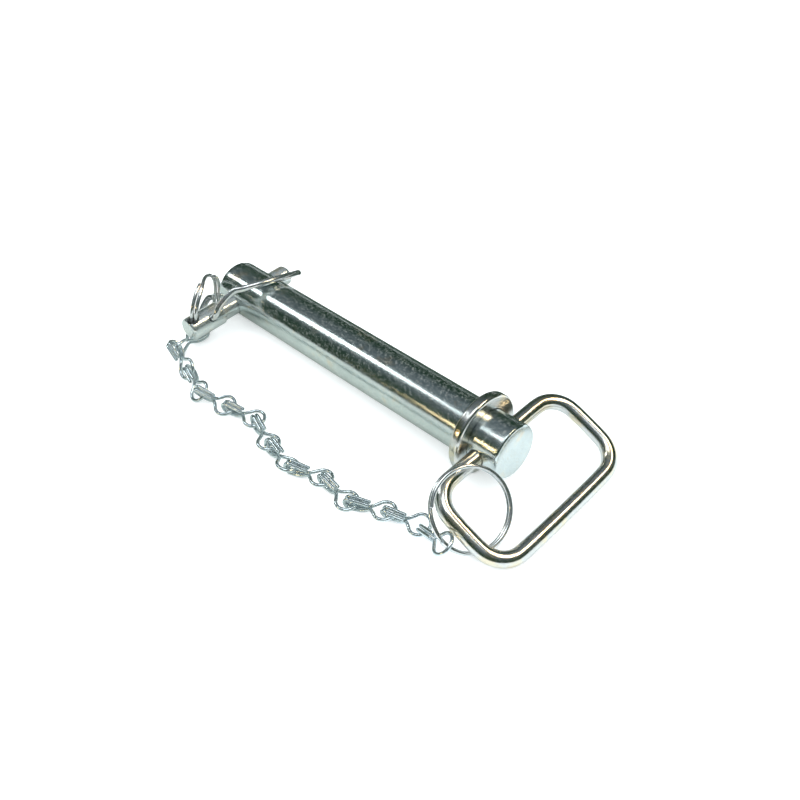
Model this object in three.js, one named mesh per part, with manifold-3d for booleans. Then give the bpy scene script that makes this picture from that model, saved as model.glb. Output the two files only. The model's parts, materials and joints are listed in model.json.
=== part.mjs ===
// Hitch pin lock: a plain steel pin with a collar and a swinging bail handle, and a linch pin with a
// snap ring through its far end, tied to the handle by two split rings and a chain of twelve links.
// Millimetres. It lies on the floor z = 0 with the head towards +X and the chain on the -Y side.
import * as THREE from 'three';
import { mergeVertices } from 'three/addons/utils/BufferGeometryUtils.js';
import Module from 'manifold-3d';

const wasm = await Module();
wasm.setup();

// ---- driving dimensions ----------------------------------------------------------------------
const GAP = 0.3; // between neighbouring pieces

const PIN_RADIUS = 12.5;
const SHANK_LENGTH = 164; // from the collar's bearing face to the far end
const SHANK_CHAMFER = 1.5;
const HEAD_LENGTH = 20.6; // from the collar's bearing face to the head's end
const HEAD_CHAMFER = 0.7;
const COLLAR_RADIUS = 18.7;
const COLLAR_WIDTH = 5.2;
const COLLAR_ROUND = 1.6;
const PIN_SIDES = 44;

const BAIL_WIRE = 7;
const BAIL_HINGE_X = 10.3; // from the collar's bearing face
const BAIL_WIDTH = 78.5; // between the centre lines of its two sides
const BAIL_REACH = 40; // from the hinge line to the outer bar's centre line
const BAIL_CORNER = 12.3;
const BAIL_END = 1; // half the space between the two wire ends inside the head
const FLOOR_CLEARANCE = 0.1; // under the bail's outer bar

const LINCH_RADIUS = 5;
const LINCH_X = -151.8;
const LINCH_TIP_Y = 22;
const LINCH_TIP_CHAMFER = 1.4;
const LINCH_SHOULDER_Y = -20; // where the body swells into the head
const LINCH_HEAD_RADIUS = 5.9;
const LINCH_HEAD_END_Y = -39.2;
const LINCH_HEAD_ROUND = 1.6;
const LINCH_SIDES = 28;

const SNAP_WIRE = 3.2;
const SNAP_ACROSS = 22.8; // half the ring's width, to the wire's centre line
const SNAP_ALONG = 24.2; // and half its length
const SNAP_HINGE_Y = -27.5;
const SNAP_LEAN = 12.6; // degrees, between the ring's plane and the linch pin's axis
const SNAP_CROSS = 34.7; // degrees that the ring's cross direction climbs from +X
const SNAP_RISE = 3.6; // of the ring's plane above the linch pin's axis, over the pin's axis
const SNAP_SHIFT = 0.6; // of the ring's centre towards the linch pin's tip
const SNAP_DIVE = 44; // degrees of arc at each end that bend down into the head
const SNAP_END = 1.5; // half the space between the two wire ends inside the head

const SPLIT_WIRE = 1.8;
const SPLIT_GAP = 0.3; // between a split ring's two turns
const SPLIT_TURNS = 1.89;
const SPLIT_CROSSING = 50; // degrees over which the wire passes from one turn to the other
const SPLIT_CROSSED = 340; // degrees from the wire's start at which it has passed over
const LINCH_RING_RADIUS = 14.5;
const LINCH_RING_HOLE = 2.9; // radius of the hole that the split ring goes through
const LINCH_RING_HOLE_Y = -35.5;
const LINCH_RING_AZIMUTH = 31.2; // degrees, of the ring's normal in plan
const LINCH_RING_TIP = 8; // degrees that the normal leans from level
const LINCH_RING_START = 130; // bearing of the wire's end about the ring, in degrees
const RING_LIFT = 0.04; // of the ring's middle, as a share of its radius
const HANDLE_RING_RADIUS = 17;
const HANDLE_RING_START = 200;
const HANDLE_RING_CENTRE = [24.1, -31, 14.6]; // on the outside of the bail's corner
const HANDLE_RING_AZIMUTH = -14.4; // degrees, of the ring's normal in plan
const HANDLE_RING_CLIMB = 43.6; // degrees that the normal climbs from level

const LINK_WIRE = 1.7;
const LINK_LENGTH = 24;
const BULB_RADIUS = 4.65; // of the round end's centre line
const TONGUE_HALF = 2.65; // half the height of the folded end's centre line
const FIRST_TONGUE_HALF = 3.7; // the first link's fold is opened wider to take the split ring
const REACH = 12.27; // from the wire that a link hooks over to its own bulb's centre, with slack
const LINK_LIFT = 0.2; // of each link above the lowest that it could lie
const FIRST_REACH = 12.8; // and from the split ring to the first bulb's centre
const FIRST_BEARING = -46; // degrees about the split ring where the first link hooks over it
const STRAND_OFFSET = (LINK_WIRE + 0.2) / 2; // the fold's two strands lie side by side

const ZINC = { color: 0x9aa5aa, roughness: 0.3, metalness: 0.9 };
const ZINC_WARM = { color: 0xa39c8c, roughness: 0.32, metalness: 0.9 };
const ZINC_CHAIN = { color: 0x9db0bb, roughness: 0.38, metalness: 0.85 };

// ---- helpers ---------------------------------------------------------------------------------
const MERGE_TOLERANCE = 1e-4;
const DRILL_SIDES = 24;
const rad = THREE.MathUtils.degToRad;
const vec = (x, y, z) => new THREE.Vector3(x, y, z);

function material(finish) {
  return new THREE.MeshStandardMaterial(finish);
}

function toManifold(geometry) {
  const bare = geometry.clone();
  bare.deleteAttribute('normal');
  bare.deleteAttribute('uv');
  const merged = mergeVertices(bare, MERGE_TOLERANCE);
  return new wasm.Manifold(new wasm.Mesh({
    numProp: 3,
    vertProperties: new Float32Array(merged.attributes.position.array),
    triVerts: new Uint32Array(merged.index.array),
  }));
}

function fromManifold(solid) {
  const mesh = solid.getMesh();
  const geometry = new THREE.BufferGeometry();
  geometry.setAttribute('position', new THREE.BufferAttribute(mesh.vertProperties, 3));
  geometry.setIndex(new THREE.BufferAttribute(mesh.triVerts, 1));
  geometry.computeVertexNormals();
  return geometry;
}

// a solid of revolution about X; each profile point is [distance along X, radius]
function turned(profile, sides) {
  const points = profile.map(([along, radius]) => new THREE.Vector2(radius, along));
  return new THREE.LatheGeometry(points, sides).rotateZ(-Math.PI / 2);
}

// a round bar along a smooth curve through the points, with flat ends
function wire(points, diameter, sides, steps) {
  const section = new THREE.Shape();
  for (let i = 0; i < sides; i += 1) {
    const angle = (i / sides) * 2 * Math.PI;
    const x = (diameter / 2) * Math.cos(angle);
    const y = (diameter / 2) * Math.sin(angle);
    if (i === 0) section.moveTo(x, y);
    else section.lineTo(x, y);
  }
  section.closePath();
  return new THREE.ExtrudeGeometry(section, {
    extrudePath: new THREE.CatmullRomCurve3(points, false, 'centripetal'),
    steps,
    bevelEnabled: false,
  });
}

function arc(centre, from, to, radius, count) {
  const points = [];
  for (let i = 0; i <= count; i += 1) {
    const angle = rad(from + ((to - from) * i) / count);
    points.push([centre[0] + radius * Math.cos(angle), centre[1] + radius * Math.sin(angle)]);
  }
  return points;
}

function drilled(geometry, holes) {
  let solid = toManifold(geometry);
  for (const { radius, length, matrix } of holes) {
    const drill = new THREE.CylinderGeometry(radius, radius, length, DRILL_SIDES);
    drill.applyMatrix4(matrix);
    solid = solid.subtract(toManifold(drill));
  }
  return fromManifold(solid);
}

function named(name, geometry, finish) {
  const mesh = new THREE.Mesh(geometry, material(finish));
  mesh.name = name;
  return mesh;
}

function place(object, x, y, z) {
  object.position.set(x, y, z);
  return object;
}

// turns an object so that its own X, Y and Z lie along the given directions
function aim(object, xAxis, yAxis, zAxis) {
  object.quaternion.setFromRotationMatrix(new THREE.Matrix4().makeBasis(xAxis, yAxis, zAxis));
  return object;
}

// ---- pin, collar and bail --------------------------------------------------------------------
// the pin rests on the collar's rim and on the bottom of its far end, so it tilts a little
const CONTACT_RUN = SHANK_LENGTH - SHANK_CHAMFER;
const TILT = Math.atan((COLLAR_RADIUS - PIN_RADIUS) / CONTACT_RUN);
const AXIS_HEIGHT = COLLAR_RADIUS * Math.cos(TILT);
const axisPoint = (along) => vec(along * Math.cos(TILT), 0, AXIS_HEIGHT + along * Math.sin(TILT));

function pinBody() {
  const bar = turned([
    [-SHANK_LENGTH, 0],
    [-SHANK_LENGTH, PIN_RADIUS - SHANK_CHAMFER],
    [-SHANK_LENGTH + SHANK_CHAMFER, PIN_RADIUS],
    [HEAD_LENGTH - HEAD_CHAMFER, PIN_RADIUS],
    [HEAD_LENGTH, PIN_RADIUS - HEAD_CHAMFER],
    [HEAD_LENGTH, 0],
  ], PIN_SIDES);
  const length = 4 * PIN_RADIUS;
  const bailHole = new THREE.Matrix4().makeTranslation(BAIL_HINGE_X, 0, 0);
  const linchHole = new THREE.Matrix4().makeRotationY(TILT);
  linchHole.setPosition(LINCH_X / Math.cos(TILT), 0, 0);
  return drilled(bar, [
    { radius: BAIL_WIRE / 2 + GAP, length, matrix: bailHole },
    { radius: LINCH_RADIUS + GAP, length, matrix: linchHole },
  ]);
}

function collar() {
  const inner = PIN_RADIUS + GAP;
  const rim = COLLAR_RADIUS - COLLAR_ROUND;
  return turned([
    [0, inner],
    ...arc([COLLAR_ROUND, rim], 180, 90, COLLAR_ROUND, 4),
    ...arc([COLLAR_WIDTH - COLLAR_ROUND, rim], 90, 0, COLLAR_ROUND, 4),
    [COLLAR_WIDTH, inner],
    [0, inner],
  ], PIN_SIDES);
}

// the bail lies along +X from its hinge line, which is its own Y axis
function bail() {
  const half = BAIL_WIDTH / 2;
  const outline = [
    [0, -BAIL_END],
    [0, -half + BAIL_CORNER],
    ...arc([BAIL_CORNER, -half + BAIL_CORNER], 180, 270, BAIL_CORNER, 6).slice(1),
    ...arc([BAIL_REACH - BAIL_CORNER, -half + BAIL_CORNER], 270, 360, BAIL_CORNER, 6),
  ];
  const mirrored = outline.map(([x, y]) => [x, -y]).reverse();
  const points = [...outline, ...mirrored].map(([x, y]) => vec(x, y, 0));
  return wire(points, BAIL_WIRE, 12, 56);
}

// ---- linch pin and its snap ring ---------------------------------------------------------------
const linchAxis = vec(LINCH_X, 0, axisPoint(LINCH_X).z);

// own X runs along world Y, from the head's end to the tip
function linchBody(snapHole, splitHole) {
  const round = LINCH_HEAD_ROUND;
  const body = turned([
    [LINCH_HEAD_END_Y, 0],
    ...arc([LINCH_HEAD_END_Y + round, LINCH_HEAD_RADIUS - round], 180, 90, round, 3),
    [LINCH_SHOULDER_Y - (LINCH_HEAD_RADIUS - LINCH_RADIUS), LINCH_HEAD_RADIUS],
    [LINCH_SHOULDER_Y, LINCH_RADIUS],
    [LINCH_TIP_Y - LINCH_TIP_CHAMFER, LINCH_RADIUS],
    [LINCH_TIP_Y, LINCH_RADIUS - LINCH_TIP_CHAMFER],
    [LINCH_TIP_Y, 0],
  ], LINCH_SIDES).rotateZ(Math.PI / 2);
  return drilled(body, [snapHole, splitHole]);
}

const snapCross = vec(Math.cos(rad(SNAP_CROSS)), 0, Math.sin(rad(SNAP_CROSS)));
const snapUp = vec(-Math.sin(rad(SNAP_CROSS)), 0, Math.cos(rad(SNAP_CROSS)));
const snapNormal = snapUp.clone().multiplyScalar(Math.cos(rad(SNAP_LEAN)));
snapNormal.y = Math.sin(rad(SNAP_LEAN));
const snapAlong = snapNormal.clone().cross(snapCross);
const snapCentre = linchAxis.clone().addScaledVector(snapNormal, SNAP_RISE);
snapCentre.addScaledVector(snapAlong, SNAP_SHIFT);
const snapHinge = linchAxis.clone().setY(SNAP_HINGE_Y);

// own X is the cross direction and own Y runs towards the linch pin's tip
function snapRing() {
  const hinge = snapHinge.clone().sub(snapCentre);
  const dive = { along: hinge.dot(snapAlong), down: hinge.dot(snapNormal) };
  const side = LINCH_HEAD_RADIUS + SNAP_WIRE / 2;
  // straight out through the head, then a knee, then up onto the ring's own plane
  const arm = [
    vec(SNAP_END, dive.along, dive.down),
    vec(side * 0.7, dive.along, dive.down),
    vec(side + SNAP_WIRE / 2, dive.along + 0.6, dive.down + 1.2),
    vec(side + 3.6, dive.along + 2.6, dive.down * 0.55),
  ];
  const loop = arc([0, 0], -90 + SNAP_DIVE, 270 - SNAP_DIVE, 1, 26);
  const points = [
    ...arm,
    ...loop.map(([x, y]) => vec(x * SNAP_ACROSS, y * SNAP_ALONG, 0)),
    ...arm.map((p) => vec(-p.x, p.y, p.z)).reverse(),
  ];
  return wire(points, SNAP_WIRE, 8, 52);
}

// ---- split rings -------------------------------------------------------------------------------
// a flat key ring of two turns side by side; own Z is the ring's normal, and the wire starts at
// the given bearing about it
function splitRing(radius, start) {
  const shift = (SPLIT_WIRE + SPLIT_GAP) / 2;
  const sweep = 360 * SPLIT_TURNS;
  const points = [];
  for (let angle = 0; angle <= sweep; angle += 12) {
    const share = THREE.MathUtils.smoothstep(angle, SPLIT_CROSSED - SPLIT_CROSSING, SPLIT_CROSSED);
    const bearing = rad(start + angle);
    points.push(vec(radius * Math.cos(bearing), radius * Math.sin(bearing), shift * (2 * share - 1)));
  }
  return wire(points, SPLIT_WIRE, 8, 60);
}

function directionOf(azimuth, elevation) {
  const level = Math.cos(rad(elevation));
  return vec(level * Math.cos(rad(azimuth)), level * Math.sin(rad(azimuth)), Math.sin(rad(elevation)));
}

const ringNormal = directionOf(LINCH_RING_AZIMUTH, -LINCH_RING_TIP);
const ringUp = vec(0, 0, 1).addScaledVector(ringNormal, -ringNormal.z).normalize();
const ringSide = ringNormal.clone().cross(ringUp); // level, towards the chain's side
const ringHole = linchAxis.clone().setY(LINCH_RING_HOLE_Y);
// the ring stands on the floor, so the hole meets it a little below its widest point
const ringDrop = LINCH_RING_RADIUS * (1 - RING_LIFT) + SPLIT_WIRE - ringHole.z;
const ringSag = Math.asin(ringDrop / LINCH_RING_RADIUS);
const ringPoint = (bearing) => ringSide.clone().multiplyScalar(Math.cos(bearing))
  .addScaledVector(ringUp, Math.sin(bearing));
const ringTangent = ringPoint(Math.PI / 2 - ringSag);
const linchRingCentre = ringHole.clone()
  .addScaledVector(ringPoint(-ringSag), -LINCH_RING_RADIUS);

// ---- chain -------------------------------------------------------------------------------------
// One link is one wire: a round bulb in its own XY plane, centred on the origin, and a double-strand
// tongue that runs to -X and folds over upwards in the XZ plane. The next link hooks over the bulb.
function chainLink(half) {
  const neck = -BULB_RADIUS - 0.5;
  const fold = -(LINK_LENGTH - BULB_RADIUS - LINK_WIRE) + half;
  const reach = neck - fold;
  const strand = [
    vec(neck - 1.2, STRAND_OFFSET, LINK_WIRE + 0.25),
    vec(neck - 0.35 * reach, STRAND_OFFSET, 0.82 * half),
    vec(fold + 0.5, STRAND_OFFSET, half),
    ...arc([fold, 0], 90, 270, half, 6).map(([x, z]) => vec(x, STRAND_OFFSET, z)),
    vec(neck - 0.45 * reach, STRAND_OFFSET, -0.72 * half),
    vec(neck - 0.8, STRAND_OFFSET, -0.3),
  ];
  const bulb = arc([0, 0], 148, -148, BULB_RADIUS, 12).map(([x, y]) => vec(x, y, 0));
  const back = strand.map((p) => vec(p.x, -p.y, p.z)).reverse();
  return wire([...strand, ...bulb, ...back], LINK_WIRE, 6, 48);
}

// each link's heading in plan and its roll about its own length, in degrees; a link with a height
// is held up by its neighbours or by the handle's split ring, the others lie on the floor
const LAY = [
  { heading: -76, roll: 72 },
  { heading: -14, roll: 54 },
  { heading: -19, roll: 36 },
  { heading: 10, roll: 18 },
  { heading: 12, roll: 2 },
  { heading: -17, roll: -8 },
  { heading: -10, roll: -22, height: 4.3 },
  { heading: 17, roll: -6, height: 4.0 },
  { heading: -4, roll: 0 },
  { heading: 22, roll: 0, height: 4.2 },
  { heading: 12, roll: 14, height: 5.9 },
  { heading: -13, roll: 30, height: 12 },
];

// the bulb centre's height when the link lies on the floor
function restHeight(half, roll) {
  const lean = Math.abs(Math.sin(rad(roll)));
  const bulb = BULB_RADIUS * lean + LINK_WIRE / 2;
  const tongue = half * Math.cos(rad(roll)) + STRAND_OFFSET * lean + LINK_WIRE / 2;
  return Math.max(bulb, tongue) + LINK_LIFT;
}

// the point of a bulb's wire that is nearest to a heading seen from the bulb's centre
function bulbPoint(link, heading) {
  const normal = vec(0, 0, 1).applyQuaternion(link.quaternion);
  const toward = heading.clone().addScaledVector(normal, -heading.dot(normal)).normalize();
  return link.position.clone().addScaledVector(toward, BULB_RADIUS);
}

function chain() {
  const links = [];
  const ringHook = linchRingCentre.clone()
    .addScaledVector(ringPoint(rad(FIRST_BEARING)), LINCH_RING_RADIUS);
  LAY.forEach(({ heading, roll, height }, index) => {
    const first = index === 0;
    const half = first ? FIRST_TONGUE_HALF : TONGUE_HALF;
    const ahead = directionOf(heading, 0);
    const hook = first ? ringHook : bulbPoint(links[index - 1], ahead);
    const centre = hook.clone().addScaledVector(ahead, first ? FIRST_REACH : REACH);
    centre.z = height ?? restHeight(half, roll);
    const along = centre.clone().sub(hook).normalize();
    const level = vec(0, 0, 1).cross(along).normalize();
    const upright = along.clone().cross(level);
    const side = level.clone().multiplyScalar(Math.cos(rad(roll)));
    side.addScaledVector(upright, Math.sin(rad(roll)));
    const name = `chain_link_${String(index + 1).padStart(2, '0')}`;
    const link = named(name, chainLink(half), ZINC_CHAIN);
    aim(link, along, side, along.clone().cross(side));
    links.push(place(link, centre.x, centre.y, centre.z));
  });
  return links;
}

// ---- assembly ----------------------------------------------------------------------------------
const assembly = new THREE.Group();

const pin = new THREE.Group();
pin.position.z = AXIS_HEIGHT;
pin.rotation.y = -TILT;
pin.add(named('pin_body', pinBody(), ZINC));
pin.add(named('collar', collar(), ZINC_WARM));
assembly.add(pin);

const bailHinge = axisPoint(BAIL_HINGE_X);
const bailFall = bailHinge.z - BAIL_WIRE / 2 - FLOOR_CLEARANCE;
const bailDrop = Math.asin(bailFall / BAIL_REACH);
const handle = named('bail_handle', bail(), ZINC_WARM);
handle.rotation.y = bailDrop;
assembly.add(place(handle, bailHinge.x, bailHinge.y, bailHinge.z));

const headBore = aim(new THREE.Object3D(), snapAlong, snapCross, snapNormal.clone().negate());
headBore.position.set(0, SNAP_HINGE_Y, 0);
headBore.updateMatrix();
const ringRadial = ringNormal.clone().cross(ringTangent);
const ringBore = aim(new THREE.Object3D(), ringNormal, ringTangent, ringRadial);
ringBore.position.set(0, LINCH_RING_HOLE_Y, 0);
ringBore.updateMatrix();
const linch = named('linch_pin_body', linchBody(
  { radius: SNAP_WIRE / 2 + GAP, length: 4 * LINCH_RADIUS, matrix: headBore.matrix },
  { radius: LINCH_RING_HOLE, length: 4 * LINCH_RADIUS, matrix: ringBore.matrix },
), ZINC);
assembly.add(place(linch, linchAxis.x, linchAxis.y, linchAxis.z));

const snap = named('linch_snap_ring', snapRing(), ZINC);
aim(snap, snapCross, snapAlong, snapNormal);
assembly.add(place(snap, snapCentre.x, snapCentre.y, snapCentre.z));

const linchRing = named('linch_split_ring', splitRing(LINCH_RING_RADIUS, LINCH_RING_START), ZINC);
aim(linchRing, ringSide, ringUp, ringNormal.clone().negate());
assembly.add(place(linchRing, linchRingCentre.x, linchRingCentre.y, linchRingCentre.z));

assembly.add(...chain());

const handleRingWire = splitRing(HANDLE_RING_RADIUS, HANDLE_RING_START);
const handleRing = named('handle_split_ring', handleRingWire, ZINC);
const handleRingNormal = directionOf(HANDLE_RING_AZIMUTH, HANDLE_RING_CLIMB);
const handleRingLevel = vec(0, 0, 1).cross(handleRingNormal).normalize();
const handleRingUp = handleRingNormal.clone().cross(handleRingLevel);
aim(handleRing, handleRingLevel, handleRingUp, handleRingNormal);
assembly.add(place(handleRing, ...HANDLE_RING_CENTRE));

// the origin is under the middle of the whole object
const bounds = new THREE.Box3().setFromObject(assembly, true);
const middle = bounds.getCenter(vec(0, 0, 0));
assembly.position.set(-middle.x, -middle.y, -bounds.min.z);

const part = new THREE.Group();
part.add(assembly);

export default part;
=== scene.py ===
"""Hitch pin lock: the finished surfaces and materials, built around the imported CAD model.

Metres and +Z up in the scene; the drawing sizes below are the object's own, in millimetres.
"""

import json
import math

import bpy
from mathutils import Matrix, Vector


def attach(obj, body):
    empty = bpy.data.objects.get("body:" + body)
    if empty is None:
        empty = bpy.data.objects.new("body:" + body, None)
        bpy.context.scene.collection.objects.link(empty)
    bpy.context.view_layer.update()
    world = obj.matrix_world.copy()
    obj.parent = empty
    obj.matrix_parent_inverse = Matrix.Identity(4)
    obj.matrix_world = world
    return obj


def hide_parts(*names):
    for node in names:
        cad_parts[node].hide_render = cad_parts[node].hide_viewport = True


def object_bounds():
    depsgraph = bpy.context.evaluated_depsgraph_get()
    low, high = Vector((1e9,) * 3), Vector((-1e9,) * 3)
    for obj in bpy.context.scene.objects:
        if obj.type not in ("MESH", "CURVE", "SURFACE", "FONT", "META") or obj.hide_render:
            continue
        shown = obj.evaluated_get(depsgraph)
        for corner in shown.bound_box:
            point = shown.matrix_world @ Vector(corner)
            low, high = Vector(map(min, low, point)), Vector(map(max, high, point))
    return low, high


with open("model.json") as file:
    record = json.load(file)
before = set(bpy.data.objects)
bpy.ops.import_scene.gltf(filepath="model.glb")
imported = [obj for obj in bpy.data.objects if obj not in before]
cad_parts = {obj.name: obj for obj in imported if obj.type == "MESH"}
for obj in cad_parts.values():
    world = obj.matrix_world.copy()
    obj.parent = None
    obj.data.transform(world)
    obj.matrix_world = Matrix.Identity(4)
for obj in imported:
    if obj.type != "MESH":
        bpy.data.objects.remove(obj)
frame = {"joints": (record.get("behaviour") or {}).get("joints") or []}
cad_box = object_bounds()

MM = 0.001
UP = Vector((0, 0, 1))

# ---- drawing sizes, in millimetres ---------------------------------------------------------------
GAP = 0.3  # between a hole and what is in it

PIN_RADIUS = 12.5
SHANK_LENGTH = 164
SHANK_CHAMFER = 1.5
HEAD_LENGTH = 20.6
HEAD_CHAMFER = 0.7
COLLAR_RADIUS = 18.7
COLLAR_WIDTH = 5.2
COLLAR_ROUND = 1.6

BAIL_WIRE = 7
BAIL_HINGE_X = 10.3
BAIL_WIDTH = 78.5
BAIL_REACH = 40
BAIL_CORNER = 12.3
BAIL_END = 1
FLOOR_CLEARANCE = 0.1

LINCH_RADIUS = 5
LINCH_X = -151.8
LINCH_TIP_Y = 22
LINCH_TIP_CHAMFER = 1.4
LINCH_SHOULDER_Y = -20
LINCH_HEAD_RADIUS = 5.9
LINCH_HEAD_END_Y = -39.2
LINCH_HEAD_ROUND = 1.6

SNAP_WIRE = 3.2
SNAP_ROUND_WIRE = 3.1  # a little under the wire's size, so that it clears the first link as it lifts
SNAP_ACROSS = 22.8  # half the loop's size each way
SNAP_ALONG = 24.2
SNAP_HINGE_Y = -27.5
SNAP_LEAN = 12.6
SNAP_CROSS = 34.7
SNAP_RISE = 3.6
SNAP_SHIFT = 0.6
SNAP_DIVE = 44
SNAP_END = 1.5

SPLIT_WIRE = 1.8
SPLIT_GAP = 0.3
SPLIT_TURNS = 1.89
SPLIT_STEP = 12  # degrees between the points that the wire is drawn through
SPLIT_CROSSING = 50  # over how many degrees the wire crosses, and where along it that ends
SPLIT_CROSSED = 340
LINCH_RING_RADIUS = 14.5
LINCH_RING_HOLE = 2.9
LINCH_RING_HOLE_Y = -35.5
LINCH_RING_AZIMUTH = 31.2
LINCH_RING_TIP = 8
LINCH_RING_START = 130
RING_LIFT = 0.04
HANDLE_RING_RADIUS = 17
HANDLE_RING_START = 200
HANDLE_RING_CENTRE = (24.1, -31, 14.6)
HANDLE_RING_AZIMUTH = -14.4
HANDLE_RING_CLIMB = 43.6

LINK_WIRE = 1.7
LINK_ROUND_WIRE = 1.6  # likewise, for its neighbours as the chain bends
LINK_LENGTH = 24
BULB_RADIUS = 4.65
TONGUE_HALF = 2.65
FIRST_TONGUE_HALF = 3.7
REACH = 12.27
LINK_LIFT = 0.2
FIRST_REACH = 12.8
FIRST_BEARING = -46
STRAND_OFFSET = (LINK_WIRE + 0.2) / 2

# heading in plan, roll about the link's length, and the height of a link that is held up
LAY = [
    (-76, 72, None),
    (-14, 54, None),
    (-19, 36, None),
    (10, 18, None),
    (12, 2, None),
    (-17, -8, None),
    (-10, -22, 4.3),
    (17, -6, 4),
    (-4, 0, None),
    (22, 0, 4.2),
    (12, 14, 5.9),
    (-13, 30, 12),
]

# ---- where the drawing's own origin is in the frame ------------------------------------------------
CONTACT_RUN = SHANK_LENGTH - SHANK_CHAMFER
TILT = math.atan((COLLAR_RADIUS - PIN_RADIUS) / CONTACT_RUN)
AXIS_HEIGHT = COLLAR_RADIUS * math.cos(TILT)
BAIL_SWING = next(j for j in frame["joints"] if j["name"] == "bail_swing")


def axis_point(along):
    """A point of the pin's axis, by its distance from the collar's bearing face."""
    return Vector((along * math.cos(TILT), 0, AXIS_HEIGHT + along * math.sin(TILT)))


SHIFT = Vector(BAIL_SWING["pos_m"]) - axis_point(BAIL_HINGE_X) * MM


def direction_of(azimuth, elevation):
    """A unit vector from its bearing in plan and its climb, in degrees."""
    turn, climb = math.radians(azimuth), math.radians(elevation)
    level = math.cos(climb)
    return Vector((level * math.cos(turn), level * math.sin(turn), math.sin(climb)))


def placed(origin, x_axis, y_axis, z_axis):
    """The matrix that puts a piece drawn in millimetres into the frame."""
    turn = Matrix((x_axis, y_axis, z_axis)).transposed().to_4x4()
    return Matrix.Translation(SHIFT + origin * MM) @ turn @ Matrix.Scale(MM, 4)


# ---- meshes ----------------------------------------------------------------------------------------
GRAIN = "grain"
SHARP_ANGLE = math.radians(38)
CURVE_STEPS = 14  # between two given points of a wire, before its even steps
WIRE_TIP = 0.3  # the length of a cut end's rounding, in wire radii
TIP_SWELL = 0.7  # the cut face's size, likewise
ROUND_SIDES = 144
LINCH_SIDES = 96
DRILL_SIDES = 64
ALONG_Y = Matrix.Rotation(math.pi / 2, 4, "Z")  # turns what is drawn along X to lie along Y
BACK_TO_X = Matrix.Rotation(-math.pi / 2, 4, "Z")


def arc(centre, start, end, radius, count):
    """Points of an arc in a plane, between two bearings in degrees."""
    points = []
    for i in range(count + 1):
        angle = math.radians(start + (end - start) * i / count)
        points.append((centre[0] + radius * math.cos(angle), centre[1] + radius * math.sin(angle)))
    return points


def catmull(p0, p1, p2, p3, t):
    """A point of the centripetal Catmull-Rom curve between p1 and p2."""
    d0, d1, d2 = (math.sqrt((b - a).length) for a, b in ((p0, p1), (p1, p2), (p2, p3)))
    leave = ((p1 - p0) / d0 - (p2 - p0) / (d0 + d1) + (p2 - p1) / d1) * d1
    arrive = ((p2 - p1) / d1 - (p3 - p1) / (d1 + d2) + (p3 - p2) / d2) * d1
    t2, t3 = t * t, t * t * t
    curve = (2 * t3 - 3 * t2 + 1) * p1 + (3 * t2 - 2 * t3) * p2
    return curve + (t3 - 2 * t2 + t) * leave + (t3 - t2) * arrive


def smooth_path(points, steps):
    """Evenly spaced points of the smooth curve through the given ones."""
    ends = [2 * points[0] - points[1], *points, 2 * points[-1] - points[-2]]
    dense = []
    for i in range(len(points) - 1):
        dense += [catmull(*ends[i:i + 4], k / CURVE_STEPS) for k in range(CURVE_STEPS)]
    dense.append(points[-1])
    lengths = [0.0]
    for a, b in zip(dense, dense[1:]):
        lengths.append(lengths[-1] + (b - a).length)
    path, at = [], 0
    for i in range(steps + 1):
        goal = lengths[-1] * i / steps
        while at < len(dense) - 2 and lengths[at + 1] < goal:
            at += 1
        span = lengths[at + 1] - lengths[at]
        path.append(dense[at].lerp(dense[at + 1], (goal - lengths[at]) / span))
    return path


def new_object(name, data):
    """A new object in the scene."""
    made = bpy.data.objects.new(name, data)
    bpy.context.scene.collection.objects.link(made)
    return made


def set_grain(mesh, places):
    """Keeps each vertex's place along and about its own wire or bar, for the finishes."""
    held = mesh.attributes.new(GRAIN, "FLOAT_VECTOR", "POINT")
    held.data.foreach_set("vector", [c for place in places for c in place])


def mesh_piece(name, vertices, faces, grain, matrix):
    """An object from its vertices and faces, and the place in the grain of each vertex."""
    mesh = bpy.data.meshes.new(name)
    mesh.from_pydata(vertices, [], faces)
    set_grain(mesh, grain)
    return finished(name, mesh, matrix)


def finished(name, mesh, matrix):
    """Puts a mesh into the frame, smooth where it curves and sharp at its edges."""
    mesh.transform(matrix)
    mesh.polygons.foreach_set("use_smooth", [True] * len(mesh.polygons))
    mesh.set_sharp_from_angle(angle=SHARP_ANGLE)
    return new_object(name, mesh)


def circle(along, radius, sides):
    """The points of a circle about X."""
    bearings = [2 * math.pi * k / sides for k in range(sides)]
    return [(along, radius * math.cos(b), radius * math.sin(b)) for b in bearings]


def neighbours(sides):
    """The numbers of each two neighbours on a circle."""
    return [(k, (k + 1) % sides) for k in range(sides)]


def band(first, second, sides):
    """The faces between two circles of vertices, given each circle's first vertex."""
    return [(first + k, first + n, second + n, second + k) for k, n in neighbours(sides)]


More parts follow.
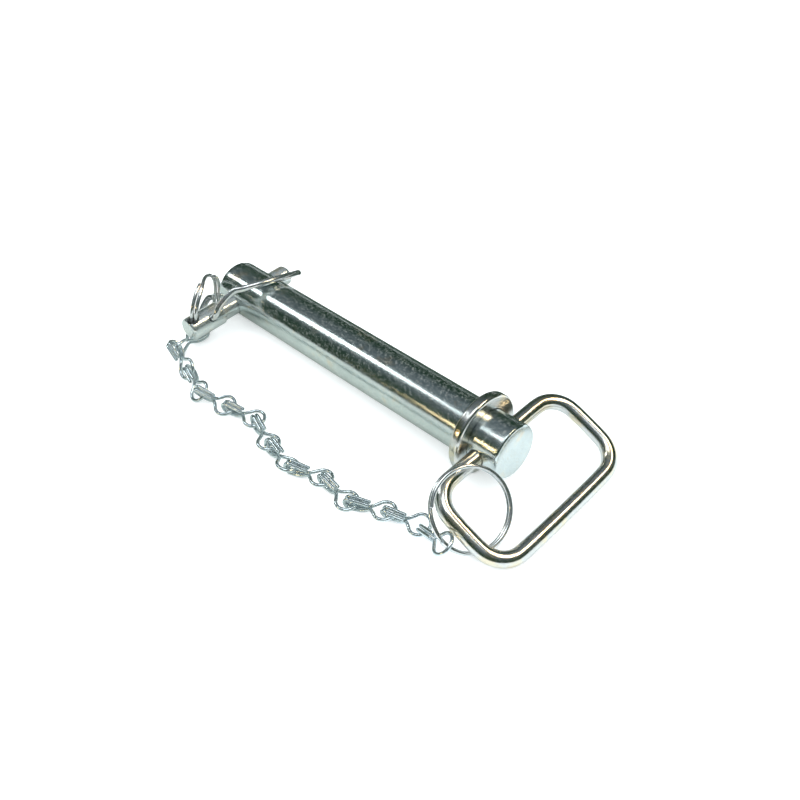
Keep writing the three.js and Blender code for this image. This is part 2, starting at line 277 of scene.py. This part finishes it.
def wire_piece(name, points, diameter, matrix, sides, steps):
    """A round wire along a smooth curve, its two cut ends slightly rounded."""
    path = smooth_path(points, steps)
    radius = diameter / 2
    tangents = []
    for i in range(len(path)):
        tangents.append((path[min(i + 1, steps)] - path[max(i - 1, 0)]).normalized())
    normal = tangents[0].orthogonal().normalized()
    sections, along = [], 0.0
    for i, (point, tangent) in enumerate(zip(path, tangents)):
        normal = (normal - tangent * normal.dot(tangent)).normalized()
        along += (point - path[i - 1]).length if i else 0.0
        sections.append((point, normal.copy(), tangent.cross(normal), along, 1.0))
    tip = WIRE_TIP * radius
    for end, inward in ((0, 1), (-1, -1)):
        point, side, other, length, _ = sections[end]
        inner = (point + inward * tip * tangents[end], side, other, length + inward * tip, 1.0)
        sections[end] = (point, side, other, length, TIP_SWELL)
        sections.insert(1 if end == 0 else len(sections) - 1, inner)
    vertices, grain, faces = [], [], []
    for point, side, other, length, swell in sections:
        places = circle(length, radius * swell, sides)
        vertices += [point + c * side + s * other for _, c, s in places]
        grain += places
    last = (len(sections) - 1) * sides
    for start in range(0, last, sides):
        faces += band(start, start + sides, sides)
    faces.append(tuple(range(sides - 1, -1, -1)))
    faces.append(tuple(range(last, last + sides)))
    return mesh_piece(name, vertices, faces, grain, matrix)


def turned_mesh(profile, sides):
    """A closed mesh turned about X from (along, radius) points; a radius of 0 is a pole."""
    vertices, rows = [], []
    for along, radius in profile:
        rows.append((len(vertices), radius == 0))
        vertices += [(along, 0, 0)] if radius == 0 else circle(along, radius, sides)
    faces = []
    for (first, first_pole), (second, second_pole) in zip(rows, rows[1:]):
        if first_pole:
            faces += [(first, second + n, second + k) for k, n in neighbours(sides)]
        elif second_pole:
            faces += [(first + k, first + n, second) for k, n in neighbours(sides)]
        else:
            faces += band(first, second, sides)
    mesh = bpy.data.meshes.new("turned")
    mesh.from_pydata(vertices, [], faces)
    mesh.update()
    return mesh


def stations(start, end, spacing):
    """Evenly spaced stations between two places along a bar, without its ends."""
    count = max(1, round(abs(end - start) / spacing))
    return [start + (end - start) * i / count for i in range(1, count)]


def drilled_piece(name, mesh, holes, matrix):
    """Cuts round holes, each given by its radius, half length and place along X, and sets the grain."""
    body = new_object(name + "_blank", mesh)
    cutters = []
    for radius, reach, bore in holes:
        drill = [(-reach, 0), (-reach, radius), (reach, radius), (reach, 0)]
        cutter = new_object(name + "_drill", turned_mesh(drill, DRILL_SIDES))
        cutter.data.transform(bore)
        cutters.append(cutter)
        cut = body.modifiers.new("drill", "BOOLEAN")
        cut.operation = "DIFFERENCE"
        cut.solver = "EXACT"
        cut.object = cutter
    graph = bpy.context.evaluated_depsgraph_get()
    solid = bpy.data.meshes.new_from_object(body.evaluated_get(graph))
    for scratch in [body, *cutters]:
        bpy.data.objects.remove(scratch)
    set_grain(solid, [v.co for v in solid.vertices])
    return finished(name, solid, matrix)


# ---- materials -------------------------------------------------------------------------------------
class Nodes:
    """A node tree, with short calls for the nodes that the finishes and the room use."""

    def __init__(self, tree):
        self.tree = tree

    def add(self, kind, **values):
        """A new node with some of its settings."""
        node = self.tree.nodes.new(kind)
        for key, value in values.items():
            setattr(node, key, value)
        return node

    def link(self, source, target):
        """A link from an output to an input."""
        self.tree.links.new(source, target)

    def grain(self, scale):
        """The place along and about the wire, stretched by a scale in each direction."""
        place = self.add("ShaderNodeAttribute", attribute_name=GRAIN)
        stretch = self.add("ShaderNodeMapping")
        stretch.inputs["Scale"].default_value = scale
        self.link(place.outputs["Vector"], stretch.inputs["Vector"])
        return stretch.outputs["Vector"]

    def noise(self, vector, scale, detail, roughness):
        """A smooth random value at each place, around a half."""
        node = self.add("ShaderNodeTexNoise")
        node.inputs["Scale"].default_value = scale
        node.inputs["Detail"].default_value = detail
        node.inputs["Roughness"].default_value = roughness
        self.link(vector, node.inputs["Vector"])
        return node.outputs["Fac"]

    def ramp(self, value, stops):
        """A colour for a value, by the (position, colour) stops between which it falls."""
        node = self.add("ShaderNodeValToRGB")
        elements = node.color_ramp.elements
        elements[0].position, elements[0].color = stops[0][0], (*stops[0][1], 1)
        elements[1].position, elements[1].color = stops[-1][0], (*stops[-1][1], 1)
        for position, colour in stops[1:-1]:
            elements.new(position).color = (*colour, 1)
        self.link(value, node.inputs["Fac"])
        return node.outputs["Color"]

    def span(self, value, low, high, from_low=0.3, from_high=0.7):
        """A value brought from one range to another, and held within it."""
        node = self.add("ShaderNodeMapRange")
        node.inputs["From Min"].default_value = from_low
        node.inputs["From Max"].default_value = from_high
        node.inputs["To Min"].default_value = low
        node.inputs["To Max"].default_value = high
        self.link(value, node.inputs["Value"])
        return node.outputs["Result"]

    def mix(self, share, a, b):
        """A share of the second colour or value in the first."""
        node = self.add("ShaderNodeMix", data_type="RGBA")
        for source, socket in ((share, node.inputs[0]), (a, node.inputs[6]), (b, node.inputs[7])):
            if isinstance(source, bpy.types.NodeSocket):
                self.link(source, socket)
            else:
                socket.default_value = source
        return node.outputs[2]

    def bump(self, height, strength, distance, under=None):
        """A surface that a height roughens, over another such surface where one is given."""
        node = self.add("ShaderNodeBump")
        node.inputs["Strength"].default_value = strength
        node.inputs["Distance"].default_value = distance
        self.link(height, node.inputs["Height"])
        if under is not None:
            self.link(under, node.inputs["Normal"])
        return node.outputs["Normal"]


class Finish(Nodes):
    """A new material, with the calls for its node tree and its shader."""

    def __init__(self, name):
        self.material = bpy.data.materials.new(name)
        self.material.use_nodes = True
        super().__init__(self.material.node_tree)
        self.shader = self.tree.nodes["Principled BSDF"]

    def set(self, **values):
        """Sets the shader's inputs, named with _ for each space; colours get their alpha."""
        for name, value in values.items():
            full = (*value, 1) if isinstance(value, tuple) else value
            self.shader.inputs[name.replace("_", " ")].default_value = full


# scale, detail and roughness of the noise behind each effect; the grain's scale is its mottle
PATCH_NOISE = (0.11, 4.0, 0.62)
GRAIN_NOISE = (4.0, 0.7)
MARK_NOISE = (1.0, 3.0, 0.6)
# the stretch of the grain's noise over which grains darken, brighten and lose their metal
DARK_GRAIN = (0.36, 0.5)
BRIGHT_GRAIN = (0.56, 0.68)
SPECKLE_GRAIN = (0.5, 0.66)
DARK_SHARE, DARK_TINT = 0.45, 0.55
BRIGHT_SHARE, BRIGHT_TINT = 0.6, 1.2
COOLEST_AT, COOLEST_TINT = 0.3, 0.9
WARMING = 0.12  # how much further the patches' noise goes from all cool to all warm
PATCH_ROUGH = 0.6  # the patches' share of the roughness, the rest being the tool marks'
MARK_HEIGHT, GRAIN_HEIGHT = 0.00003, 0.00006  # in metres


def zinc(name, cool, warm, cool_to, gloss, turned, mottle, depth, metal=1.0, speckle=0.12):
    """Bright zinc plate: a cool silver with warm passivated patches, fine grain and tool marks.

    cool_to is how far up the patches' noise the plate stays cool, gloss the least and most
    roughness, turned stretches the tool marks along and about the wire, mottle is the grain's
    fineness per millimetre, depth the strength of both, metal is lower where the plate is
    duller, and speckle is how much lower it is on the grains that catch the light.
    """
    n = Finish(name)
    even = n.grain((1, 1, 1))
    patches = n.noise(even, *PATCH_NOISE)
    grain = n.noise(even, mottle, *GRAIN_NOISE)
    marks = n.noise(n.grain(turned), *MARK_NOISE)
    coolest = [c * COOLEST_TINT for c in cool]
    tint = n.ramp(patches, [(COOLEST_AT, coolest), (cool_to, cool), (cool_to + WARMING, warm)])
    dark = [c * DARK_TINT for c in cool]
    dull = n.mix(n.span(grain, DARK_SHARE, 0.0, *DARK_GRAIN), tint, (*dark, 1))
    pale = [min(1, c * BRIGHT_TINT) for c in warm]
    bright = n.mix(n.span(grain, 0.0, BRIGHT_SHARE, *BRIGHT_GRAIN), dull, (*pale, 1))
    n.link(bright, n.shader.inputs["Base Color"])
    n.link(n.span(grain, metal, metal - speckle, *SPECKLE_GRAIN), n.shader.inputs["Metallic"])
    low, high = gloss
    rough = n.mix(PATCH_ROUGH, n.span(marks, low, high), n.span(patches, high, low))
    n.link(rough, n.shader.inputs["Roughness"])
    fine = n.bump(marks, depth / 2, MARK_HEIGHT)
    n.link(n.bump(grain, depth, GRAIN_HEIGHT, fine), n.shader.inputs["Normal"])
    return n.material


TURNED_BAR = (2.4, 0.12, 0.12)
DRAWN_WIRE = (0.1, 1.6, 1.6)
BENT_BAR = (0.08, 0.9, 0.9)
STEEL = {
    "pin": zinc(
        "zinc_pin", cool=(0.66, 0.73, 0.73), warm=(0.74, 0.69, 0.58), cool_to=0.58,
        gloss=(0.07, 0.21), turned=TURNED_BAR, mottle=1.1, depth=0.8, speckle=0.22),
    "linch": zinc(
        "zinc_linch", cool=(0.76, 0.82, 0.83), warm=(0.84, 0.78, 0.66), cool_to=0.54,
        gloss=(0.14, 0.3), turned=TURNED_BAR, mottle=1.3, depth=0.4, metal=0.88),
    "handle": zinc(
        "zinc_handle", cool=(0.70, 0.71, 0.70), warm=(0.78, 0.70, 0.54), cool_to=0.5,
        gloss=(0.13, 0.28), turned=BENT_BAR, mottle=1.4, depth=0.45, speckle=0.06),
    "ring": zinc(
        "zinc_ring", cool=(0.75, 0.78, 0.79), warm=(0.80, 0.74, 0.71), cool_to=0.52,
        gloss=(0.1, 0.26), turned=DRAWN_WIRE, mottle=1.6, depth=0.25, metal=0.96),
    "chain": zinc(
        "zinc_chain", cool=(0.72, 0.81, 0.85), warm=(0.78, 0.81, 0.78), cool_to=0.56,
        gloss=(0.1, 0.3), turned=DRAWN_WIRE, mottle=1.6, depth=0.3, metal=0.95),
}


def stands_for(piece, body, node, finish):
    """Gives a piece its finish and its body, and hides the CAD node that it stands for."""
    piece.data.materials.clear()
    piece.data.materials.append(STEEL[finish])
    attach(piece, body)
    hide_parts(node)


# ---- pin, collar and bail --------------------------------------------------------------------------
PIN_PLACE = placed(
    Vector((0, 0, AXIS_HEIGHT)),
    Vector((math.cos(TILT), 0, math.sin(TILT))),
    Vector((0, 1, 0)),
    Vector((-math.sin(TILT), 0, math.cos(TILT))),
)


def make_pin():
    """The bar with its head, its chamfered ends and its two cross holes."""
    soft = 0.25
    face_rings = (4, 8)
    shank_from, head_to = -SHANK_LENGTH + SHANK_CHAMFER + 1, HEAD_LENGTH - 1.6
    profile = [
        (-SHANK_LENGTH, 0),
        *[(-SHANK_LENGTH, r) for r in face_rings],
        *edge((-SHANK_LENGTH, PIN_RADIUS - SHANK_CHAMFER), (0, -1), (1, 1), soft),
        *edge((-SHANK_LENGTH + SHANK_CHAMFER, PIN_RADIUS), (-1, -1), (1, 0), soft),
        *[(x, PIN_RADIUS) for x in stations(shank_from, head_to, spacing=2)],
        *edge((HEAD_LENGTH - HEAD_CHAMFER, PIN_RADIUS), (-1, 0), (1, -1), soft),
        *edge((HEAD_LENGTH, PIN_RADIUS - HEAD_CHAMFER), (-1, 1), (0, -1), soft),
        *[(HEAD_LENGTH, r) for r in reversed(face_rings)],
        (HEAD_LENGTH, 0),
    ]
    reach = 2 * PIN_RADIUS
    bail_hole = Matrix.Translation((BAIL_HINGE_X, 0, 0)) @ ALONG_Y
    # the linch pin is drawn level, so its hole is turned back by the bar's tilt
    linch_hole = Matrix.Translation((LINCH_X / math.cos(TILT), 0, 0)) @ Matrix.Rotation(TILT, 4, "Y")
    holes = [
        (BAIL_WIRE / 2 + GAP, reach, bail_hole),
        (LINCH_RADIUS + GAP, reach, linch_hole @ ALONG_Y),
    ]
    pin = drilled_piece("hitch_pin", turned_mesh(profile, ROUND_SIDES), holes, PIN_PLACE)
    stands_for(pin, "pin", "pin_body", "pin")


def edge(corner, back, ahead, size):
    """Three points that round a corner of a profile, between the directions back and ahead of it."""
    here = Vector(corner)
    before = here + Vector(back).normalized() * size
    after = here + Vector(ahead).normalized() * size
    middle = (before + after + 2 * here) / 4
    return [tuple(before), tuple(middle), tuple(after)]


def make_collar():
    """The ring on the bar, with a rounded rim on both faces."""
    inner = PIN_RADIUS + GAP
    rim = COLLAR_RADIUS - COLLAR_ROUND
    rings = 3
    outline = [
        *[(0, inner + (rim - inner) * i / rings) for i in range(rings)],
        *arc((COLLAR_ROUND, rim), 180, 90, COLLAR_ROUND, count=10),
        *arc((COLLAR_WIDTH - COLLAR_ROUND, rim), 90, 0, COLLAR_ROUND, count=10),
        *[(COLLAR_WIDTH, rim - (rim - inner) * i / rings) for i in range(1, rings + 1)],
    ]
    vertices, faces = [], []
    for along, radius in outline:
        vertices += circle(along, radius, ROUND_SIDES)
    for start in range(0, len(vertices), ROUND_SIDES):
        faces += band(start, (start + ROUND_SIDES) % len(vertices), ROUND_SIDES)
    collar = mesh_piece("pressed_collar", vertices, faces, vertices, PIN_PLACE)
    stands_for(collar, "pin", "collar", "handle")


def make_bail():
    """The handle: one wire from the middle of the head, round a rectangle, and back into it."""
    half = BAIL_WIDTH / 2
    outline = [
        (0, -BAIL_END),
        (0, -half + BAIL_CORNER),
        *arc((BAIL_CORNER, -half + BAIL_CORNER), 180, 270, BAIL_CORNER, count=6)[1:],
        *arc((BAIL_REACH - BAIL_CORNER, -half + BAIL_CORNER), 270, 360, BAIL_CORNER, count=6),
    ]
    mirrored = [(x, -y) for x, y in reversed(outline)]
    points = [Vector((x, y, 0)) for x, y in outline + mirrored]
    hinge = axis_point(BAIL_HINGE_X)
    drop = math.asin((hinge.z - BAIL_WIRE / 2 - FLOOR_CLEARANCE) / BAIL_REACH)
    ahead = Vector((math.cos(drop), 0, -math.sin(drop)))
    side = Vector((0, 1, 0))
    place = placed(hinge, ahead, side, ahead.cross(side))
    bail = wire_piece("bail", points, BAIL_WIRE, place, sides=32, steps=260)
    stands_for(bail, "bail", "bail_handle", "handle")


# ---- linch pin and snap ring -----------------------------------------------------------------------
LINCH_AXIS = Vector((LINCH_X, 0, axis_point(LINCH_X).z))
SNAP_SIDE = Vector((math.cos(math.radians(SNAP_CROSS)), 0, math.sin(math.radians(SNAP_CROSS))))
SNAP_UP = Vector((-SNAP_SIDE.z, 0, SNAP_SIDE.x))
SNAP_NORMAL = SNAP_UP * math.cos(math.radians(SNAP_LEAN))
SNAP_NORMAL.y = math.sin(math.radians(SNAP_LEAN))
SNAP_LENGTHWISE = SNAP_NORMAL.cross(SNAP_SIDE)
SNAP_CENTRE = LINCH_AXIS + SNAP_NORMAL * SNAP_RISE + SNAP_LENGTHWISE * SNAP_SHIFT

RING_NORMAL = direction_of(LINCH_RING_AZIMUTH, -LINCH_RING_TIP)
RING_UP = (UP - RING_NORMAL * RING_NORMAL.z).normalized()
RING_SIDE = RING_NORMAL.cross(RING_UP)
RING_HOLE = LINCH_AXIS + Vector((0, LINCH_RING_HOLE_Y, 0))
RING_DROP = LINCH_RING_RADIUS * (1 - RING_LIFT) + SPLIT_WIRE - RING_HOLE.z
RING_SAG = math.asin(RING_DROP / LINCH_RING_RADIUS)


def ring_point(bearing):
    """A direction in the linch ring's plane, by its bearing in radians."""
    return RING_SIDE * math.cos(bearing) + RING_UP * math.sin(bearing)


RING_CENTRE = RING_HOLE - ring_point(-RING_SAG) * LINCH_RING_RADIUS


def make_linch_pin():
    """The linch pin, thicker at its head, with a hole for the snap ring and one for the split ring."""
    round_off = LINCH_HEAD_ROUND
    swell = LINCH_HEAD_RADIUS - LINCH_RADIUS
    shoulder = LINCH_SHOULDER_Y - swell
    profile = [
        (LINCH_HEAD_END_Y, 0),
        (LINCH_HEAD_END_Y, 2),
        *arc((LINCH_HEAD_END_Y + round_off, LINCH_HEAD_RADIUS - round_off), 180, 90, round_off, count=8),
        *[(x, LINCH_HEAD_RADIUS) for x in stations(LINCH_HEAD_END_Y + round_off, shoulder, spacing=1)],
        *edge((shoulder, LINCH_HEAD_RADIUS), (-1, 0), (1, -1), size=0.4),
        *edge((LINCH_SHOULDER_Y, LINCH_RADIUS), (-1, 1), (1, 0), size=0.4),
        *[(x, LINCH_RADIUS) for x in stations(LINCH_SHOULDER_Y + 1, LINCH_TIP_Y - 3, spacing=2)],
        *edge((LINCH_TIP_Y - LINCH_TIP_CHAMFER, LINCH_RADIUS), (-1, 0), (1, -1), size=0.5),
        *edge((LINCH_TIP_Y, LINCH_RADIUS - LINCH_TIP_CHAMFER), (-1, 1), (0, -1), size=0.3),
        (LINCH_TIP_Y, 1.5),
        (LINCH_TIP_Y, 0),
    ]
    tangent = ring_point(math.pi / 2 - RING_SAG)
    # the profile is turned about X while the pin lies along Y, so the bores are turned back to X
    snap_bore = Matrix((SNAP_SIDE, SNAP_LENGTHWISE, SNAP_NORMAL)).transposed().to_4x4()
    ring_bore = Matrix((tangent, RING_NORMAL, tangent.cross(RING_NORMAL))).transposed().to_4x4()
    reach = 2 * LINCH_RADIUS
    snap_hole = BACK_TO_X @ Matrix.Translation((0, SNAP_HINGE_Y, 0)) @ snap_bore
    ring_hole = BACK_TO_X @ Matrix.Translation((0, LINCH_RING_HOLE_Y, 0)) @ ring_bore
    holes = [
        (SNAP_WIRE / 2 + GAP, reach, snap_hole),
        (LINCH_RING_HOLE, reach, ring_hole),
    ]
    place = placed(LINCH_AXIS, Vector((1, 0, 0)), Vector((0, 1, 0)), UP) @ ALONG_Y
    linch = drilled_piece("linch_pin", turned_mesh(profile, LINCH_SIDES), holes, place)
    stands_for(linch, "linch_pin", "linch_pin_body", "linch")


def make_snap_ring():
    """The sprung ring: two arms from the linch pin's head, bent out to a nearly round loop."""
    hinge = LINCH_AXIS + Vector((0, SNAP_HINGE_Y, 0)) - SNAP_CENTRE
    back, down = hinge.dot(SNAP_LENGTHWISE), hinge.dot(SNAP_NORMAL)
    side = LINCH_HEAD_RADIUS + SNAP_WIRE / 2
    # out of the head along its hole, round the bend, and up towards the loop
    arm = [
        Vector((SNAP_END, back, down)),
        Vector((side * 0.7, back, down)),
        Vector((side + SNAP_WIRE / 2, back + 0.6, down + 1.2)),
        Vector((side + 3.6, back + 2.6, down * 0.55)),
    ]
    loop = arc((0, 0), -90 + SNAP_DIVE, 270 - SNAP_DIVE, radius=1, count=26)
    points = [
        *arm,
        *[Vector((x * SNAP_ACROSS, y * SNAP_ALONG, 0)) for x, y in loop],
        *[Vector((-p.x, p.y, p.z)) for p in reversed(arm)],
    ]
    place = placed(SNAP_CENTRE, SNAP_SIDE, SNAP_LENGTHWISE, SNAP_NORMAL)
    ring = wire_piece("snap_ring", points, SNAP_ROUND_WIRE, place, sides=24, steps=240)
    stands_for(ring, "snap_ring", "linch_snap_ring", "ring")


# ---- split rings -----------------------------------------------------------------------------------
def smoothstep(value, low, high):
    """A share from 0 to 1 that eases in and out between two values."""
    share = min(1, max(0, (value - low) / (high - low)))
    return share * share * (3 - 2 * share)


def split_ring(name, radius, start, place):
    """Two turns of wire side by side, crossing from one to the other."""
    shift = (SPLIT_WIRE + SPLIT_GAP) / 2
    points = []
    for angle in range(0, int(360 * SPLIT_TURNS) + 1, SPLIT_STEP):
        share = smoothstep(angle, SPLIT_CROSSED - SPLIT_CROSSING, SPLIT_CROSSED)
        bearing = math.radians(start + angle)
        across = shift * (2 * share - 1)
        points.append(Vector((radius * math.cos(bearing), radius * math.sin(bearing), across)))
    return wire_piece(name, points, SPLIT_WIRE, place, sides=18, steps=300)


def make_split_rings():
    """The ring through the linch pin's head, and the ring around the bail."""
    place = placed(RING_CENTRE, RING_SIDE, RING_UP, -RING_NORMAL)
    ring = split_ring("linch_split_ring_wire", LINCH_RING_RADIUS, LINCH_RING_START, place)
    stands_for(ring, "linch_ring", "linch_split_ring", "ring")
    normal = direction_of(HANDLE_RING_AZIMUTH, HANDLE_RING_CLIMB)
    level = UP.cross(normal).normalized()
    place = placed(Vector(HANDLE_RING_CENTRE), level, normal.cross(level), normal)
    ring = split_ring("handle_split_ring_wire", HANDLE_RING_RADIUS, HANDLE_RING_START, place)
    stands_for(ring, "handle_ring", "handle_split_ring", "ring")


# ---- chain -----------------------------------------------------------------------------------------
def link_points(half):
    """One link's wire: a round bulb, and a tongue of two strands that folds over upwards."""
    neck = -BULB_RADIUS - 0.5
    fold = -(LINK_LENGTH - BULB_RADIUS - LINK_WIRE) + half
    reach = neck - fold
    # from the cut end along the upper strand, round the fold, and back along the lower one
    strand = [
        (neck - 1.2, LINK_WIRE + 0.25),
        (neck - 0.35 * reach, 0.82 * half),
        (fold + 0.5, half),
        *arc((fold, 0), 90, 270, half, count=6),
        (neck - 0.45 * reach, -0.72 * half),
        (neck - 0.8, -0.3),
    ]
    out = [Vector((x, STRAND_OFFSET, z)) for x, z in strand]
    bulb = [Vector((x, y, 0)) for x, y in arc((0, 0), 148, -148, BULB_RADIUS, count=12)]
    back = [Vector((p.x, -p.y, p.z)) for p in reversed(out)]
    return out + bulb + back


def rest_height(half, roll):
    """The height of a bulb's centre when its link lies on the floor."""
    lean = abs(math.sin(math.radians(roll)))
    bulb = BULB_RADIUS * lean + LINK_WIRE / 2
    tongue = half * math.cos(math.radians(roll)) + STRAND_OFFSET * lean + LINK_WIRE / 2
    return max(bulb, tongue) + LINK_LIFT


def make_chain():
    """The twelve links, each laid from where it hooks over the one before."""
    hook = RING_CENTRE + ring_point(math.radians(FIRST_BEARING)) * LINCH_RING_RADIUS
    for index, (heading, roll, height) in enumerate(LAY):
        half = FIRST_TONGUE_HALF if index == 0 else TONGUE_HALF
        ahead = direction_of(heading, 0)
        if index:
            toward = (ahead - normal * ahead.dot(normal)).normalized()
            hook = centre + toward * BULB_RADIUS
        centre = hook + ahead * (REACH if index else FIRST_REACH)
        centre.z = rest_height(half, roll) if height is None else height
        along = (centre - hook).normalized()
        level = UP.cross(along).normalized()
        side = level * math.cos(math.radians(roll)) + along.cross(level) * math.sin(math.radians(roll))
        normal = along.cross(side)
        number = f"{index + 1:02d}"
        place = placed(centre, along, side, normal)
        wire = link_points(half)
        link = wire_piece("link_wire_" + number, wire, LINK_ROUND_WIRE, place, sides=16, steps=150)
        stands_for(link, "link_" + number, "chain_link_" + number, "chain")


make_pin()
make_collar()
make_bail()
make_linch_pin()
make_snap_ring()
make_split_rings()
make_chain()


# ---- floor, camera and light -----------------------------------------------------------------------
MATT = 0.9
WHITE = (0.97, 0.99, 1.0)
COLD = (0.95, 1.0, 1.0)
GOLDEN = (1.0, 0.82, 0.55)
AMBER = (1.0, 0.76, 0.42)

FLOOR_HALF = 3
FLOOR_COLOUR = (0.9, 0.905, 0.91)
FLOOR_SHINE = 0.1
FLOOR_GLOW = 0.4

# the photograph's camera, in millimetres and directions of the drawing: it looks along azimuth 41.6
# and elevation 41.4 degrees, and its shifts come from where the object stands in the picture
SENSOR_WIDTH = 36
LENS = 42.07
LENS_SHIFT = (-0.0986, -0.0634)
CAMERA_PLACE = Vector((181.5, -203.5, 304.1))
CAMERA_RIGHT = Vector((0.748, 0.664, 0))
CAMERA_BACK = Vector((0.498, -0.561, 0.661))
CLIP = (0.01, 20)

# the room by height, from below to overhead, as the metal sees it, and what the camera sees of it
ROOM = [
    (0.0, (0.02, 0.045, 0.028)),
    (0.45, (0.022, 0.05, 0.032)),
    (0.72, (0.10, 0.125, 0.135)),
    (0.95, (0.20, 0.24, 0.26)),
]
BACKDROP = (0.96, 0.98, 0.98)

# painted reflections: cards that only the metal mirrors, laid on the white floor: a dark one behind the
# shank, a grey one below it that paints the floor's shade, a pale one by the bail; left and right, near
# and far are in metres from the pin's axis at the collar
CARD_HEIGHT = 0.0005
PAINTED_REFLECTION_CARDS = [
    ("painted_dark_reflection", (-0.5, -0.004), (0.035, 1.2), (0.012, 0.03, 0.018)),
    ("painted_shade_reflection", (-0.5, -0.004), (-0.5, 0.03), (0.50, 0.54, 0.50)),
    ("painted_pale_reflection", (-0.004, 0.596), (-0.5, 0.8), (0.84, 0.89, 0.90)),
]

# name, direction, distance, width and height in metres, power in watts, and colour
OVERHEAD = ("overhead", (0.1, -0.1, 1), 1.4, 4.5, 4.5, 128, WHITE)
REFLECTED_LIGHTS = [
    ("far_strip", (-0.74, -0.22, 0.71), 1, 0.34, 0.085, 0.9, COLD),
    ("near_strip", (-0.54, -0.26, 0.80), 1, 0.22, 0.02, 0.045, COLD),
    ("head_patch", (-0.33, -0.31, 0.86), 1, 0.22, 0.2, 0.42, COLD),
    ("top_sheet", (0.1, -0.1, 1), 1, 0.45, 0.55, 2.4, COLD),
    ("warm_low", (-0.38, -0.86, 0.30), 1, 0.10, 0.10, 0.5, AMBER),
    ("warm_back", (0.45, 0.42, 0.78), 1, 0.12, 0.5, 2.4, GOLDEN),
]


def sheet(name, left, right, near, far, height):
    """A flat rectangle, and nothing on it yet."""
    mesh = bpy.data.meshes.new(name)
    corners = [(left, near), (right, near), (right, far), (left, far)]
    mesh.from_pydata([(x, y, height) for x, y in corners], [], [(0, 1, 2, 3)])
    return new_object(name, mesh)


def make_floor():
    """A pale floor that glows a little, so that it goes over into the white backdrop."""
    floor = sheet("floor", -FLOOR_HALF, FLOOR_HALF, -FLOOR_HALF, FLOOR_HALF, 0)
    n = Finish("pale_floor")
    n.set(Base_Color=FLOOR_COLOUR, Roughness=MATT, Specular_IOR_Level=FLOOR_SHINE)
    n.set(Emission_Color=WHITE, Emission_Strength=FLOOR_GLOW)
    floor.data.materials.append(n.material)


def make_camera():
    """The photograph's view, held level."""
    data = bpy.data.cameras.new("camera")
    data.sensor_width = SENSOR_WIDTH
    data.lens = LENS
    data.shift_x, data.shift_y = LENS_SHIFT
    data.clip_start, data.clip_end = CLIP
    camera = new_object("camera", data)
    back = CAMERA_BACK.normalized()
    above = back.cross(CAMERA_RIGHT.normalized()).normalized()
    turn = Matrix((above.cross(back), above, back)).transposed().to_4x4()
    camera.matrix_world = Matrix.Translation(SHIFT + CAMERA_PLACE * MM) @ turn
    bpy.context.scene.camera = camera


def make_room():
    """A dim room, dark green low down and blue-grey overhead, behind a white backdrop."""
    world = bpy.context.scene.world or bpy.data.worlds.new("room")
    bpy.context.scene.world = world
    world.use_nodes = True
    world.node_tree.nodes.clear()
    n = Nodes(world.node_tree)
    split = n.add("ShaderNodeSeparateXYZ")
    n.link(n.add("ShaderNodeTexCoord").outputs["Generated"], split.inputs[0])
    room = n.add("ShaderNodeBackground")
    n.link(n.ramp(split.outputs["Z"], ROOM), room.inputs["Color"])
    backdrop = n.add("ShaderNodeBackground")
    backdrop.inputs["Color"].default_value = (*BACKDROP, 1)
    seen = n.add("ShaderNodeMixShader")
    n.link(n.add("ShaderNodeLightPath").outputs["Is Camera Ray"], seen.inputs[0])
    n.link(room.outputs[0], seen.inputs[1])
    n.link(backdrop.outputs[0], seen.inputs[2])
    n.link(seen.outputs[0], n.add("ShaderNodeOutputWorld").inputs[0])


def make_card(name, across, along, colour):
    """A card low on the floor that is seen only in the metal, where its colour is a painted reflection.
    """
    left, right = (SHIFT.x + x for x in across)
    near, far = (SHIFT.y + y for y in along)
    card = sheet(name, left, right, near, far, CARD_HEIGHT)
    n = Finish(name)
    n.set(Base_Color=colour, Roughness=MATT)
    card.data.materials.append(n.material)
    card.visible_camera = False
    card.visible_diffuse = False
    card.visible_shadow = False


def area_light(name, toward, distance, width, height, power, colour):
    """A softbox at a distance in a direction from the object's middle, facing it."""
    data = bpy.data.lights.new(name, "AREA")
    data.shape = "RECTANGLE"
    data.size, data.size_y = width, height
    data.energy = power
    data.color = colour
    light = new_object(name, data)
    away = Vector(toward).normalized()
    light.location = (cad_box[0] + cad_box[1]) / 2 + away * distance
    light.rotation_mode = "QUATERNION"
    light.rotation_quaternion = away.to_track_quat("Z", "X")
    light.visible_camera = False
    return light


def make_lights():
    """One light for the floor, which casts the soft shadow, and six that only the metal mirrors."""
    area_light(*OVERHEAD).visible_glossy = False
    for settings in REFLECTED_LIGHTS:
        area_light(*settings).visible_diffuse = False


make_floor()
make_camera()
make_room()
for card_settings in PAINTED_REFLECTION_CARDS:
    make_card(*card_settings)
make_lights()
bpy.context.scene.view_settings.view_transform = "Standard"
